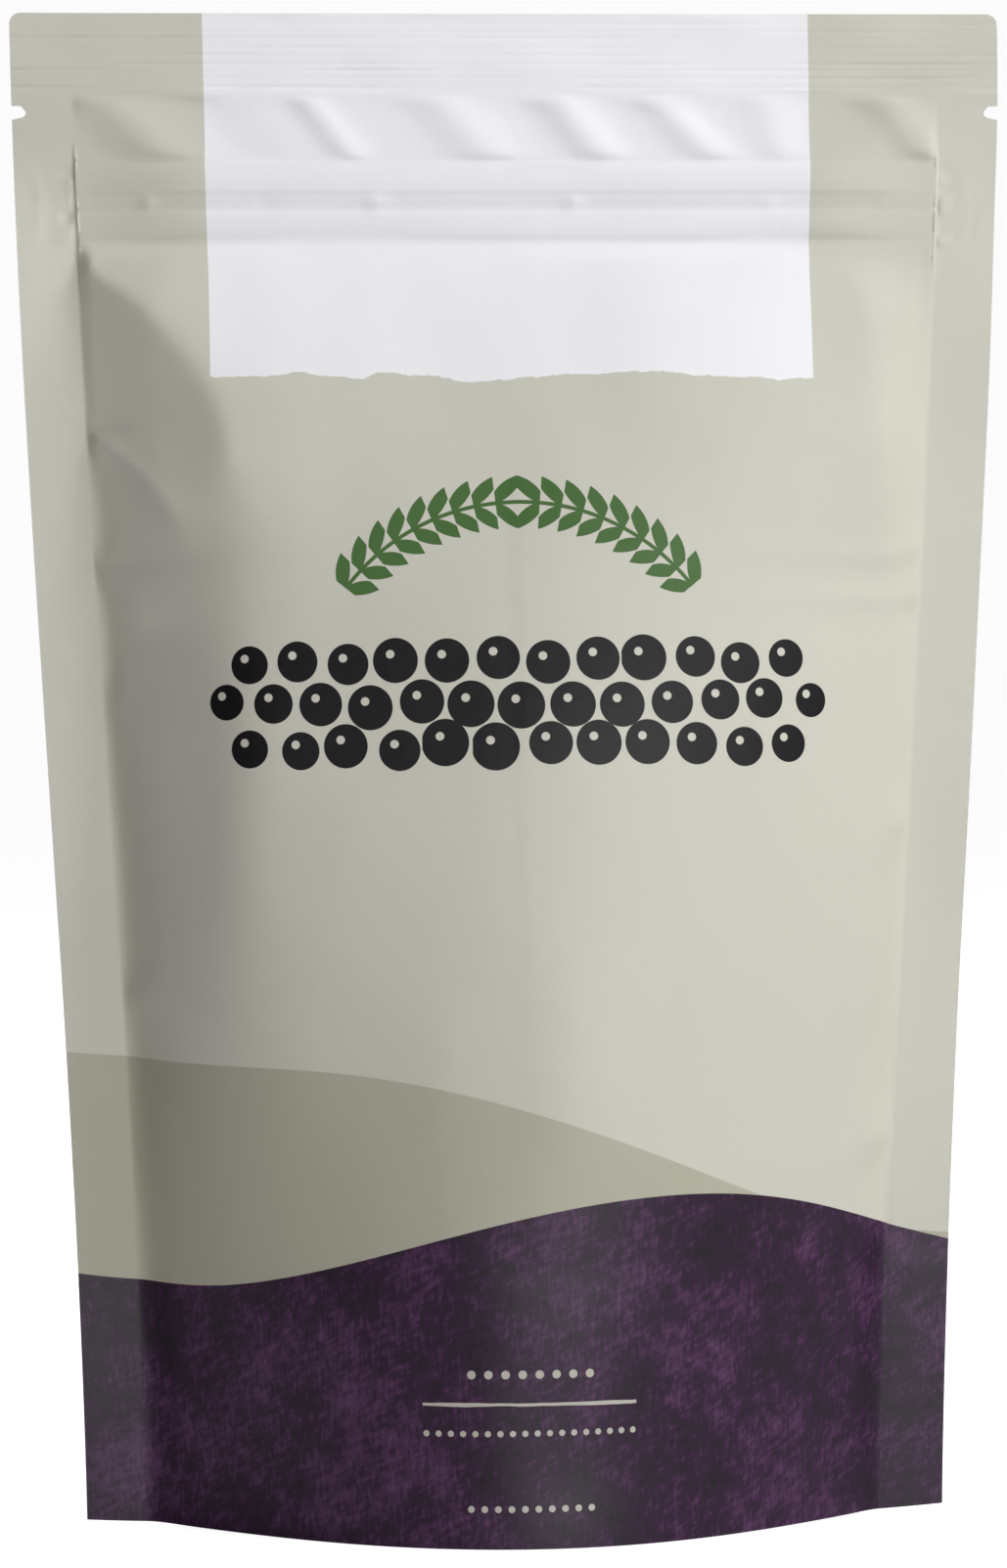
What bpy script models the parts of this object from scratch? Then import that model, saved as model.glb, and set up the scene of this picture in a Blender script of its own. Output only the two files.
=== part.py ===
"""A filled stand-up pouch with a press-to-close zipper: two film panels, a folded bottom gusset, the two halves
of the zipper and the dried berries inside. Metres, +Z up. The origin is on the surface that the pouch stands on,
under its middle, and the front panel faces -Y."""

import math

import bmesh
import bpy

# The pouch as it stands, full.
HEIGHT = 0.271
HALF_WIDTH_TOP = 0.089
HALF_WIDTH_BOTTOM = 0.0772
BELLY = 0.0355  # how far each panel's middle stands out at the bottom
FILL_LEVEL = 0.166
HEAP = 0.006  # the berries' middle stands this much above their sides

# The film and its welds.
FILM = 0.00015
GAP = 0.0002  # between films that are welded together
SIDE_SEAL = 0.0105
TOP_SEAL = 0.0147
CORNER_RADIUS = 0.002
NOTCH_HEIGHT = 0.2529
NOTCH_DEPTH = 0.0027
NOTCH_WIDTH = 0.0025

# The bottom gusset: its weld to the panels climbs from the middle to the side seals.
GUSSET_FOLD = 0.045
GUSSET_WELD_MIDDLE = 0.006
GUSSET_BEND = 0.0004
CORNER_LIFT = 0.0015
RIM_CLEARANCE = 0.0001

# The zipper: two strips whose rib and channel are pressed together.
ZIP_BOTTOM = 0.2299
ZIP_TOP = 0.2437
ZIP_FLANGE = 0.00025
ZIP_HALF_THICKNESS = 0.0011  # from the pouch's middle plane to the middle of a flange
ZIP_END_MARGIN = 0.0013
ZIP_END_STEP = 0.0009  # the width over which a panel steps out to the strips
ZIP_STAND = 0.00143  # how far the strips hold a panel off the plane of the seals

# The grid that every film shares.
SIDE_COLUMNS = 9  # from the middle to a side seal
ROW_STEP = 0.0115
BELLY_TAPER = 2.7
BELLY_FULLNESS = 0.8
PANEL_STEP = 0.003  # the height over which a panel steps in above the gusset's fold
BERRY_CLEARANCE = 0.0015
BERRY_REACH = 0.93  # the share of a body's half width that the berries fill


def clear_scene():
    for old in list(bpy.data.objects):
        bpy.data.objects.remove(old, do_unlink=True)


def new_collection(name, hidden=False):
    collection = bpy.data.collections.new(name)
    collection.hide_render = hidden
    bpy.context.scene.collection.children.link(collection)
    return collection


def new_material(name, colour, roughness, alpha=1.0):
    material = bpy.data.materials.new(name)
    material.use_nodes = True
    shader = material.node_tree.nodes["Principled BSDF"]
    shader.inputs["Base Color"].default_value = (*colour, 1.0)
    shader.inputs["Roughness"].default_value = roughness
    shader.inputs["Metallic"].default_value = 0.0
    shader.inputs["Alpha"].default_value = alpha
    return material


def mix(low, high, share):
    return low + (high - low) * share


def ease(share):
    share = min(1.0, max(0.0, share))
    return share * share * (3.0 - 2.0 * share)


# ---- The shape of the standing pouch, as functions of height ----


def half_width(z):
    """The outline of the pouch, from its middle to a side's cut edge."""
    share = z / HEIGHT
    return mix(HALF_WIDTH_BOTTOM, HALF_WIDTH_TOP, 0.35 * share + 0.65 * ease(share))


def body_half_width(z):
    """From the middle to the inner edge of a side seal."""
    return half_width(z) - SIDE_SEAL


def seal_depth(z):
    """How far a panel's mid-surface is from the middle plane inside a side seal: further out below the gusset's
    fold, where the gusset's two leaves lie between the panels."""
    two_films = (GAP + FILM) / 2
    four_films = two_films + GAP + FILM
    return mix(four_films, two_films, ease((z - GUSSET_FOLD - PANEL_STEP / 4) / PANEL_STEP))


def zip_stand(z):
    """How far the zipper holds a panel out: fully along its flanges, and less and less above and below them."""
    if z > ZIP_TOP:
        return ZIP_STAND * (1.0 - ease((z - ZIP_TOP) / (HEIGHT - TOP_SEAL - ZIP_TOP)))
    return ZIP_STAND * ease(z / ZIP_BOTTOM)


def belly(z):
    """How far the berries push a panel's middle out."""
    share = (ZIP_BOTTOM - z) / ZIP_BOTTOM
    return BELLY * (1.0 - (1.0 - share) ** BELLY_TAPER) if share > 0 else 0.0


def panel_depth(x, z):
    """How far a panel's mid-surface stands out from the middle plane."""
    share = min(1.0, abs(x) / body_half_width(z))
    edge = ease((1.0 - share) * body_half_width(z) / ZIP_END_STEP)
    return seal_depth(z) + zip_stand(z) * edge + belly(z) * (1.0 - share * share) ** BELLY_FULLNESS


def columns(z):
    """The x of each column of film at height z: the cut edges, the seals' inner edges, and closer and closer
    columns towards those."""
    inner = [
        body_half_width(z) * math.sin(math.pi / 2 * k / SIDE_COLUMNS)
        for k in range(-SIDE_COLUMNS, SIDE_COLUMNS + 1)
    ]
    return [-half_width(z), *inner, half_width(z)]


def section(z, inset=0.0):
    """The front panel's mid-surface at height z as (x, y) points, moved inwards by inset along its normal."""
    points = [(x, -panel_depth(x, z)) for x in columns(z)]
    moved = []
    for k, (x, y) in enumerate(points):
        before = points[max(k - 1, 0)]
        after = points[min(k + 1, len(points) - 1)]
        normals = []
        for a, b in ((before, (x, y)), ((x, y), after)):
            length = math.dist(a, b)
            if length > 0:
                normals.append(((a[1] - b[1]) / length, (b[0] - a[0]) / length))
        nx = sum(n[0] for n in normals)
        ny = sum(n[1] for n in normals)
        reach = inset * len(normals) / (nx * nx + ny * ny)
        moved.append((x + nx * reach, y + ny * reach))
    return moved


def rim_height(x):
    """The bottom edge of every film: just clear of the surface in the middle and lifted at the corners."""
    return RIM_CLEARANCE + CORNER_LIFT * (abs(x) / HALF_WIDTH_BOTTOM) ** 4


def rows():
    """The heights of the panels' rows of film."""
    stops = [0.0, GUSSET_FOLD, GUSSET_FOLD + 1.25 * PANEL_STEP, ZIP_BOTTOM, ZIP_TOP, HEIGHT - TOP_SEAL, HEIGHT]
    heights = [0.0]
    for low, high in zip(stops, stops[1:]):
        steps = max(1, round((high - low) / ROW_STEP))
        if low == ZIP_TOP:
            steps = 3
        heights += [mix(low, high, (k + 1) / steps) for k in range(steps)]
    return heights


# ---- Making objects ----


def add_object(name, mesh, material, collection):
    made = bpy.data.objects.new(name, mesh)
    collection.objects.link(made)
    if material:
        mesh.materials.append(material)
    mesh.shade_smooth()
    mesh.set_sharp_from_angle(angle=math.radians(50))
    return made


def film_grid(name, across, up, place):
    """A grid of film, across by up faces, with its corner (i, j) at place(i, j)."""
    sheet = bmesh.new()
    bmesh.ops.create_grid(sheet, x_segments=across, y_segments=up, size=1.0)
    for corner in sheet.verts:
        i = round((corner.co.x + 1.0) / 2.0 * across)
        j = round((corner.co.y + 1.0) / 2.0 * up)
        corner.co = place(i, j)
    bmesh.ops.recalc_face_normals(sheet, faces=sheet.faces)
    mesh = bpy.data.meshes.new(name)
    sheet.to_mesh(mesh)
    sheet.free()
    return mesh


def add_film_thickness(film):
    solid = film.modifiers.new("film thickness", "SOLIDIFY")
    solid.thickness = FILM
    solid.offset = 0.0
    solid.use_even_offset = True
    solid.use_quality_normals = True


def prism(name, outline, length, collection, material=None):
    """The outline, (x, y) points, as a solid of that length, its middle on the outline's plane."""
    curve = bpy.data.curves.new(name, "CURVE")
    curve.dimensions = "2D"
    curve.fill_mode = "BOTH"
    curve.extrude = length / 2
    spline = curve.splines.new("POLY")
    spline.points.add(len(outline) - 1)
    for point, (x, y) in zip(spline.points, outline):
        point.co = (x, y, 0.0, 1.0)
    spline.use_cyclic_u = True
    drawn = bpy.data.objects.new(name + "_outline", curve)
    collection.objects.link(drawn)
    bpy.context.view_layer.update()
    mesh = bpy.data.meshes.new_from_object(drawn.evaluated_get(bpy.context.evaluated_depsgraph_get()))
    bpy.data.objects.remove(drawn, do_unlink=True)
    shape = bmesh.new()
    shape.from_mesh(mesh)
    bmesh.ops.remove_doubles(shape, verts=shape.verts, dist=1e-7)
    bmesh.ops.recalc_face_normals(shape, faces=shape.faces)
    shape.to_mesh(mesh)
    shape.free()
    return add_object(name, mesh, material, collection)


def add_cutters(collection):
    """A tear notch and a corner rounding at each side of the top."""
    edge = half_width(NOTCH_HEIGHT)
    shoulder = NOTCH_DEPTH * 0.6
    margin = 0.002
    notch = [
        (edge + margin, NOTCH_WIDTH / 2),
        (edge - shoulder, NOTCH_WIDTH / 2),
        (edge - NOTCH_DEPTH, 0.0),
        (edge - shoulder, -NOTCH_WIDTH / 2),
        (edge + margin, -NOTCH_WIDTH / 2),
    ]
    arc_steps = 6
    turns = [math.pi / 2 * k / arc_steps for k in range(arc_steps + 1)]
    centre = (HALF_WIDTH_TOP - CORNER_RADIUS, HEIGHT - CORNER_RADIUS)
    arc = [
        (centre[0] + CORNER_RADIUS * math.cos(turn), centre[1] + CORNER_RADIUS * math.sin(turn))
        for turn in turns
    ]
    outside = [
        (centre[0], HEIGHT + margin),
        (HALF_WIDTH_TOP + margin, HEIGHT + margin),
        (HALF_WIDTH_TOP + margin, centre[1]),
    ]
    shapes = {
        "tear_notch": [(x, y + NOTCH_HEIGHT) for x, y in notch],
        "corner_rounding": arc + outside,
    }
    for name, outline in shapes.items():
        for side, sign in (("left", -1), ("right", 1)):
            cutter = prism(f"{name}_{side}", [(sign * x, y) for x, y in outline], 0.01, collection)
            cutter.rotation_euler = (math.pi / 2, 0.0, 0.0)
            cutter.hide_render = True
            cutter.display_type = "WIRE"


# ---- The pieces ----


def add_panels(material, collection, cutters):
    """The front panel, and the back panel, which is the same film turned round."""
    heights = rows()
    across = 2 * SIDE_COLUMNS + 2
    depths = [section(z) for z in heights]

    def place(i, j):
        x, y = depths[j][i]
        lift = rim_height(x) * (1.0 - heights[j] / HEIGHT) ** 12
        return (x, y, heights[j] + lift)

    mesh = film_grid("film_panel", across, len(heights) - 1, place)
    for name, turn in (("front_panel", 0.0), ("back_panel", math.pi)):
        panel = add_object(name, mesh.copy(), material, collection)
        panel.rotation_euler = (0.0, 0.0, turn)
        add_film_thickness(panel)
        cut = panel.modifiers.new("notches and corners", "BOOLEAN")
        cut.operand_type = "COLLECTION"
        cut.collection = cutters
        cut.operation = "DIFFERENCE"
        cut.solver = "EXACT"


def weld_height(share):
    """How high the gusset is welded to the panels, at this share of the way from the middle to a side seal."""
    if share >= 1.0:
        return GUSSET_FOLD
    return mix(GUSSET_WELD_MIDDLE, GUSSET_FOLD, 1.0 - math.sqrt(1.0 - share * share))


def gusset_span(column, height):
    """Half the distance between the gusset's two welds at this column."""
    return -section(height, FILM + GAP)[column][1]


def gusset_sag(share, span):
    """How far the gusset hangs below its welds: what its film allows, down to the surface it stands on."""
    height = weld_height(share)
    leaf = GUSSET_FOLD - height
    hang = 0.866 * math.sqrt(max(0.0, leaf * leaf - span * span))
    return min(hang, 2 * height)


def gusset_membrane(share, span, y):
    """The height of the gusset between its welds."""
    height = weld_height(share)
    hang = gusset_sag(share, span) * (1.0 - min(1.0, abs(y) / span) ** 2.4)
    return max(FILM / 2, height - hang)


def gusset_section(column):
    """The gusset at one column as (x, y, z) points from the front rim, up its weld, over its bend, across under
    the berries and down the back weld."""
    share = abs(math.sin(math.pi / 2 * (column - 1 - SIDE_COLUMNS) / SIDE_COLUMNS))
    if column in (0, 2 * SIDE_COLUMNS + 2):
        share = 1.0
    top = weld_height(share)
    span = gusset_span(column, top)
    bend = min(GUSSET_BEND, span)
    skirt_steps, bend_steps, half_steps = 4, 3, 6
    front = []
    for k in range(skirt_steps):
        z = (top - bend) * k / skirt_steps
        x, y = section(z, FILM + GAP)[column]
        front.append((x, y, z + rim_height(x) * (1.0 - z / top)))
    for k in range(bend_steps):
        turn = math.pi / 2 * k / bend_steps
        x = section(top, FILM + GAP)[column][0]
        front.append((x, -span + bend * (1.0 - math.cos(turn)), top - bend + bend * math.sin(turn)))
    reach = span - bend
    for k in range(half_steps):
        x = section(top, FILM + GAP)[column][0]
        y = -reach * math.cos(math.pi / 2 * k / half_steps)
        front.append((x, y, gusset_membrane(share, max(reach, 1e-6), y)))
    x = section(top, FILM + GAP)[column][0]
    middle = (x, 0.0, gusset_membrane(share, max(reach, 1e-6), 0.0))
    back = [(x, -y, z) for x, y, z in reversed(front)]
    return [*front, middle, *back]


def add_gusset(material, collection):
    across = 2 * SIDE_COLUMNS + 2
    sections = [gusset_section(column) for column in range(across + 1)]
    mesh = film_grid("bottom_gusset", across, len(sections[0]) - 1, lambda i, j: sections[i][j])
    add_film_thickness(add_object("bottom_gusset", mesh, material, collection))


def add_zipper(material, collection):
    """Each strip is one section, drawn as (depth, height) about the zipper's middle, along the pouch's width."""
    middle = (ZIP_BOTTOM + ZIP_TOP) / 2
    half_flange = (ZIP_TOP - ZIP_BOTTOM) / 2 - 0.0006
    outer = ZIP_HALF_THICKNESS + ZIP_FLANGE / 2
    inner = ZIP_HALF_THICKNESS - ZIP_FLANGE / 2
    stem, head, tip = 0.00025, 0.00055, 0.0002
    leg_inside, leg_outside, hook = 0.00075, 0.00125, 0.00045
    shoulder, point = -0.0002, 0.0006
    rib_half = [(-inner, stem), (shoulder, stem), (shoulder, head), (point, tip)]
    rib = [(-outer, half_flange), (-inner, half_flange), *rib_half]
    rib += [(y, -z) for y, z in reversed(rib)]
    mouth, lip = -0.0007, -0.00035
    leg = [
        (inner, leg_outside),
        (mouth, leg_outside),
        (mouth, hook),
        (lip, hook),
        (lip, leg_inside),
        (inner, leg_inside),
    ]
    channel = [(outer, half_flange), (inner, half_flange), *leg]
    channel += [(y, -z) for y, z in reversed(channel)]
    length = 2 * (body_half_width(middle) - ZIP_END_MARGIN)
    for name, outline in (("zipper_rib_strip", rib), ("zipper_channel_strip", channel)):
        strip = prism(name, outline, length, collection, material)
        # The outline's first axis is depth and its second is height; the prism's length runs across the pouch.
        strip.rotation_euler = (math.pi / 2, 0.0, math.pi / 2)
        strip.location = (0.0, 0.0, middle)


def berry_floor(share, y):
    """The berries' underside, clear of the gusset's slopes in both directions."""
    share = min(1.0, abs(share) + 0.015)
    height = weld_height(share)
    span = max(panel_depth(share * body_half_width(height), height), FILM)
    return gusset_membrane(share, span, abs(y) + BERRY_CLEARANCE) + BERRY_CLEARANCE


def berry_place(p, q, r):
    """Where the point (p, q, r) of a cube from -1 to 1 lies in the berries: across, through and up the pouch."""
    share = BERRY_REACH * math.sin(math.pi / 2 * p)
    up = (r + 1.0) / 2.0
    z = mix(GUSSET_FOLD, FILL_LEVEL, up)
    for _ in range(4):
        x = share * body_half_width(z)
        y = q * (panel_depth(x, z) - BERRY_CLEARANCE)
        high = FILL_LEVEL + HEAP * (1.0 - p * p) * (1.0 - 0.5 * q * q)
        z = mix(berry_floor(share, y), high, up)
    return (x, y, z)


def add_berries(material, collection):
    cuts = 9
    heap = bmesh.new()
    bmesh.ops.create_cube(heap, size=2.0)
    bmesh.ops.subdivide_edges(heap, edges=heap.edges, cuts=cuts, use_grid_fill=True)
    for corner in heap.verts:
        corner.co = berry_place(*corner.co)
    mesh = bpy.data.meshes.new("dried_elderberries")
    heap.to_mesh(mesh)
    heap.free()
    add_object("dried_elderberries", mesh, material, collection)


def main():
    clear_scene()
    pouch = new_collection("stand_up_pouch")
    cutters = new_collection("cutters", hidden=True)
    film = new_material("greige matte film", (0.55, 0.54, 0.46), 0.45)
    plastic = new_material("clear polyethylene", (0.82, 0.83, 0.84), 0.35)
    skin = new_material("dried berry skin", (0.025, 0.02, 0.028), 0.6)
    add_cutters(cutters)
    add_panels(film, pouch, cutters)
    add_gusset(film, pouch)
    add_zipper(plastic, pouch)
    add_berries(skin, pouch)


main()
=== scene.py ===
"""The looks of a filled stand-up pouch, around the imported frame: printed film with its welds, zipper relief,
folds and print. Metres, +Z up; the front panel faces -Y."""

import math

import bmesh
import bpy
import numpy as np
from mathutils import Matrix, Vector


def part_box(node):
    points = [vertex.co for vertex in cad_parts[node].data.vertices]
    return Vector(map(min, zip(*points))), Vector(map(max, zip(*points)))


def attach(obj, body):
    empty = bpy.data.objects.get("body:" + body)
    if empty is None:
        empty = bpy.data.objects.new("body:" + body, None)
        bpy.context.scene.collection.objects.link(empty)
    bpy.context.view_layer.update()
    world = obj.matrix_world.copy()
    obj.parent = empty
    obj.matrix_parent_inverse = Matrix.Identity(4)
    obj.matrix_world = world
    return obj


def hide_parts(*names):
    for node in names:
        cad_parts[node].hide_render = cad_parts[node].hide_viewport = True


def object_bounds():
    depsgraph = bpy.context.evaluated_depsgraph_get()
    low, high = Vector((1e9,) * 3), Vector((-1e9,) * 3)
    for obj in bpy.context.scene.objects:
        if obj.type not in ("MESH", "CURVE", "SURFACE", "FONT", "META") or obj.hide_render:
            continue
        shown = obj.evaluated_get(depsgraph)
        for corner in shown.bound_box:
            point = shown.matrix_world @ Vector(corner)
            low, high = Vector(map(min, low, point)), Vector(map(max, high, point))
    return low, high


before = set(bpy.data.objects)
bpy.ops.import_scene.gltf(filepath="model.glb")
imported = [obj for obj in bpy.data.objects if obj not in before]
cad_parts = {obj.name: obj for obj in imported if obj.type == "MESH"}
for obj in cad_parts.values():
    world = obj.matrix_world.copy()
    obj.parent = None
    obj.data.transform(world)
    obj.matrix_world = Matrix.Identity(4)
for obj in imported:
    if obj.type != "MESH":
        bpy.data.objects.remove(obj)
CAD_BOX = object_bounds()

MM = 0.001

# ---- The pouch's sizes, from the frame and the way such pouches are made ----
HEIGHT = CAD_BOX[1].z
HALF_WIDTH_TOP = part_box("front_panel")[1].x
HALF_WIDTH_BOTTOM = 77.2 * MM
SIDE_STRAIGHTNESS = 0.35  # the straight share of the sides' flare, which is otherwise eased
FLAT_HALF = 89.0 * MM  # half of the film's flat width
FILM = 0.15 * MM
WELD = 0.01 * MM  # between films that are welded together
SIDE_SEAL = 10.5 * MM
TOP_SEAL = 14.7 * MM
SEAL_LOW = HEIGHT - TOP_SEAL
BODY_FLAT_HALF = FLAT_HALF - SIDE_SEAL
ZIP_LOW = 229.9 * MM
ZIP_HIGH = 243.7 * MM
ZIP_HOLLOW = 236.6 * MM  # the hollow between the zipper's two bands
ZIP_STAND = 2.0 * MM
CORNER_RADIUS = 2.0 * MM
NOTCH_HEIGHT = 252.9 * MM
NOTCH_DEPTH = 2.7 * MM
NOTCH_WIDTH = 2.5 * MM
NOTCH_TAPER = 0.4  # the share of its depth that the notch has lost at its mouth's corners
BELLY = 35.5 * MM
BELLY_TAPER = 2.7
BELLY_POWER = 0.8  # of the rounded section; a higher power meets the side seals more gently
FOOT_POWER = 1.3
FOOT_REACH = 110 * MM  # up to where the foot's section has become the belly's
GUSSET_FOLD = 45.0 * MM
GUSSET_WELD_MIDDLE = 6.0 * MM
GUSSET_FADE = 3.0 * MM
CORNER_LIFT = 1.5 * MM
RIM_CLEARANCE = 0.1 * MM


def mix(low, high, share):
    return low + (high - low) * share


def ease(share):
    share = np.clip(share, 0.0, 1.0)
    return share * share * (3.0 - 2.0 * share)


def bell(distance, width):
    return np.exp(-((distance / width) ** 2))


# ---- The standing pouch's shape, as functions of height ----


def half_width(z):
    """From the middle to the film's edge, before its notch and its rounded corner are cut."""
    share = np.asarray(z) / HEIGHT
    return mix(HALF_WIDTH_BOTTOM, HALF_WIDTH_TOP, mix(ease(share), share, SIDE_STRAIGHTNESS))


def body_half_width(z):
    """From the middle to the inner edge of a side seal."""
    return half_width(z) - SIDE_SEAL


def cut_half_width(z):
    """From the middle to the film's cut edge, with its tear notch and its rounded top corner."""
    from_notch = np.abs(z - NOTCH_HEIGHT) / (NOTCH_WIDTH / 2)
    notch = np.where(from_notch <= 1.0, NOTCH_DEPTH * (1.0 - NOTCH_TAPER * from_notch), 0.0)
    into_corner = np.clip(z - (HEIGHT - CORNER_RADIUS), 0.0, CORNER_RADIUS)
    corner = CORNER_RADIUS - np.sqrt(CORNER_RADIUS**2 - into_corner**2)
    return half_width(z) - notch - corner


def seal_depth(z):
    """How far a panel's mid-surface is from the middle plane in a side seal, with the gusset between low
    down."""
    return WELD + FILM / 2 + FILM * (1.0 - ease((z - GUSSET_FOLD) / GUSSET_FADE))


def zip_stand(z):
    """How far the zipper holds a panel out: over its flanges, and fading above and below them."""
    reach_below = 60 * MM
    above = 1.0 - ease((z - ZIP_HIGH) / (SEAL_LOW - ZIP_HIGH))
    below = ease((z - ZIP_LOW) / reach_below + 1.0)
    return ZIP_STAND * np.where(z > ZIP_HIGH, above, below)


def zip_edge(from_seal, z):
    """The share of the zipper's stand that the film has reached so far from a side seal. The zipper's ends
    are crushed flat, so it rises in two steps: a sudden one, and a slow one."""
    away = np.maximum(ease((z - ZIP_HIGH) / (5 * MM)), ease((ZIP_LOW - z) / (12 * MM)))
    sudden = mix(0.26, 0.0, away)
    first = ease(from_seal / (0.45 * MM))
    rest = ease(from_seal / mix(22 * MM, 14 * MM, away))
    return sudden * first + (1.0 - sudden) * rest


def belly(z):
    """How far the contents push a panel out in the middle."""
    share = np.clip((ZIP_LOW - z) / ZIP_LOW, 0.0, 1.0)
    return BELLY * (1.0 - (1.0 - share) ** BELLY_TAPER)


def round_section(share, z):
    """A rounded body's section at a height, which meets the side seals more gently at its foot."""
    return (1.0 - share**2) ** mix(FOOT_POWER, BELLY_POWER, ease(z / FOOT_REACH))


def angular_section(share, corner, blur):
    """A flat face that turns a blurred corner and runs straight to the side seal."""
    beyond = (share - corner) / (1.0 - corner)
    turned = (beyond + np.sqrt(beyond**2 + blur**2)) / 2.0
    return 1.0 - turned / ((1.0 + np.sqrt(1.0 + blur**2)) / 2.0)


class Shoulder:
    """The corner that the film folds round below one end of the zipper: its (x, z) at its top and its tip,
    how angular it is, the share of that which is left low down, how much it bows, and its blur at its top."""

    CORNER_LIMIT = 0.97  # the furthest out that the corner goes, as a share of the body
    TIP_BLUR = 0.05
    OPENED_BLUR = 0.22  # more blur where it has opened out below its tip
    OPENING = 12 * MM
    WEAKENING = 34 * MM
    ENDING = 150 * MM

    def __init__(self, top, tip, strength, low=0.0, bow=0.95, blur=0.16):
        self.top = top
        self.tip = tip
        self.strength = strength
        self.low = low
        self.bow = bow
        self.blur = blur

    def section(self, share, z):
        """The body's section at a height, from 1 in the middle to 0 at the seal."""
        t = np.clip((z - self.tip[1]) / (self.top[1] - self.tip[1]), 0.0, 1.0)
        corner = mix(self.tip[0], self.top[0], t + self.bow * (t * t - t)) / body_half_width(z)
        corner = np.minimum(corner, self.CORNER_LIMIT)
        drop = self.tip[1] - z
        kept = mix(1.0, self.low, ease(drop / self.WEAKENING)) * (1.0 - ease(drop / self.ENDING))
        weight = self.strength * kept
        blur = mix(self.TIP_BLUR, self.blur, t) + self.OPENED_BLUR * ease(drop / self.OPENING)
        return mix(round_section(share, z), angular_section(share, corner, blur), weight)


def panel_depth(x, z, shoulders=None, soft=0.5 * MM):
    """How far a panel's mid-surface stands out from the middle plane, with no folds. Soft is the length of
    the curve in which it leaves the seal."""
    body = body_half_width(z)
    share = np.clip(np.abs(x) / body, 0.0, 1.0)
    from_seal = (1.0 - share) * body
    start = 1.0 - np.exp(-((from_seal / soft) ** 1.5))
    section = round_section(share, z)
    if shoulders:
        section = np.where(x < 0.0, shoulders[0].section(share, z), shoulders[1].section(share, z))
    return seal_depth(z) + zip_stand(z) * zip_edge(from_seal, z) + belly(z) * start * section


# ---- Folds, as heights over the unfolded film; u runs across the flat film and v up it ----


def waves(u, v, size, seed, stretch=1.0, count=28):
    """A smooth random field about 1 high whose bumps are about that size, stretched along v."""
    draws = np.random.RandomState(seed)
    angles = draws.uniform(0.0, 2.0 * math.pi, count)
    lengths = size * draws.uniform(0.7, 1.6, count)
    phases = draws.uniform(0.0, 2.0 * math.pi, count)
    field = np.zeros_like(u)
    for angle, length, phase in zip(angles, lengths, phases):
        run = u * math.cos(angle) + v / stretch * math.sin(angle)
        field += np.sin(2.0 * math.pi * run / length + phase)
    return field / math.sqrt(count / 2.0)


def ridge(u, v, top, foot, height, outer, inner, bow=0.9, ends=(0.12, 0.45), sizes=(1.0, 1.0)):
    """A sharp fold from foot to top, both (u, v), bowed so that it steepens on its way down. It falls away
    over the distance outer towards the nearer side seal, and over inner on the other side. Ends holds the
    shares of its length in which it rises at its foot and its top, and sizes its sizes there."""
    bluntness = 0.06
    t = (v - foot[1]) / (top[1] - foot[1])
    held = np.clip(t, 0.0, 1.0)
    line = mix(foot[0], top[0], held + bow * (held**2 - held))
    lean = (top[0] - foot[0]) * (1.0 + bow * (2.0 * held - 1.0)) / (top[1] - foot[1])
    size = mix(sizes[0], sizes[1], held)
    across = math.copysign(1.0, top[0]) * (u - line) / np.sqrt(1.0 + lean**2) / size
    width = np.where(across > 0.0, outer, inner)
    present = ease(t / ends[0]) * ease((1.0 - t) / ends[1])
    return height * size * present * np.exp(bluntness - np.sqrt((across / width) ** 2 + bluntness**2))


def dent(u, v, centre, depth, width, height, turn=0.0):
    """A smooth hollow, or a swell where its depth is negative."""
    cos, sin = math.cos(turn), math.sin(turn)
    du, dv = u - centre[0], v - centre[1]
    return -depth * bell(du * cos + dv * sin, width) * bell(dv * cos - du * sin, height)


def inside_body(u, v):
    """1 in the panel's free film and 0 where it is welded or held by the zipper."""
    sides = ease((BODY_FLAT_HALF - np.abs(u)) / (3.0 * MM))
    top = ease((ZIP_LOW - v) / (4.0 * MM))
    foot = ease(v / (14.0 * MM))
    return sides * top * foot


def crumple(u, v, seed):
    """The film's own unevenness: broad swells and a few soft creases."""
    swell = 0.30 * MM * waves(u, v, 62 * MM, seed, stretch=1.5)
    ripple = 0.05 * MM * waves(u, v, 21 * MM, seed + 1, stretch=1.3)
    sharp = -0.10 * MM * np.abs(waves(u, v, 55 * MM, seed + 2, stretch=1.4)) ** 0.8
    return swell + ripple + sharp


def gather(u, v, pinch):
    """The ridge that fans out from a pinch in a side seal."""
    side, height, size, reach, drop = pinch
    top = (side * BODY_FLAT_HALF, height)
    foot = (side * (BODY_FLAT_HALF - reach), height - drop)
    return ridge(u, v, top, foot, size, 6 * MM, 9 * MM, bow=1.2, ends=(0.6, 0.05), sizes=(1.0, 0.4))


def softness(v, side, pinches):
    """How softly the film leaves a side seal: sharply at its pinches and high up."""
    soft = mix(0.5 * MM, 2.3 * MM, ease((214 * MM - v) / (36 * MM)))
    soft = mix(soft, 3.4 * MM, ease((150 * MM - v) / (34 * MM)))
    for its_side, height, size, _, _ in pinches:
        tight = 0.85 * np.clip(size / MM, 0.5, 1.0) * (side == its_side)
        soft = soft * (1.0 - tight * bell(v - height, 3.2 * MM))
    return soft


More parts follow.
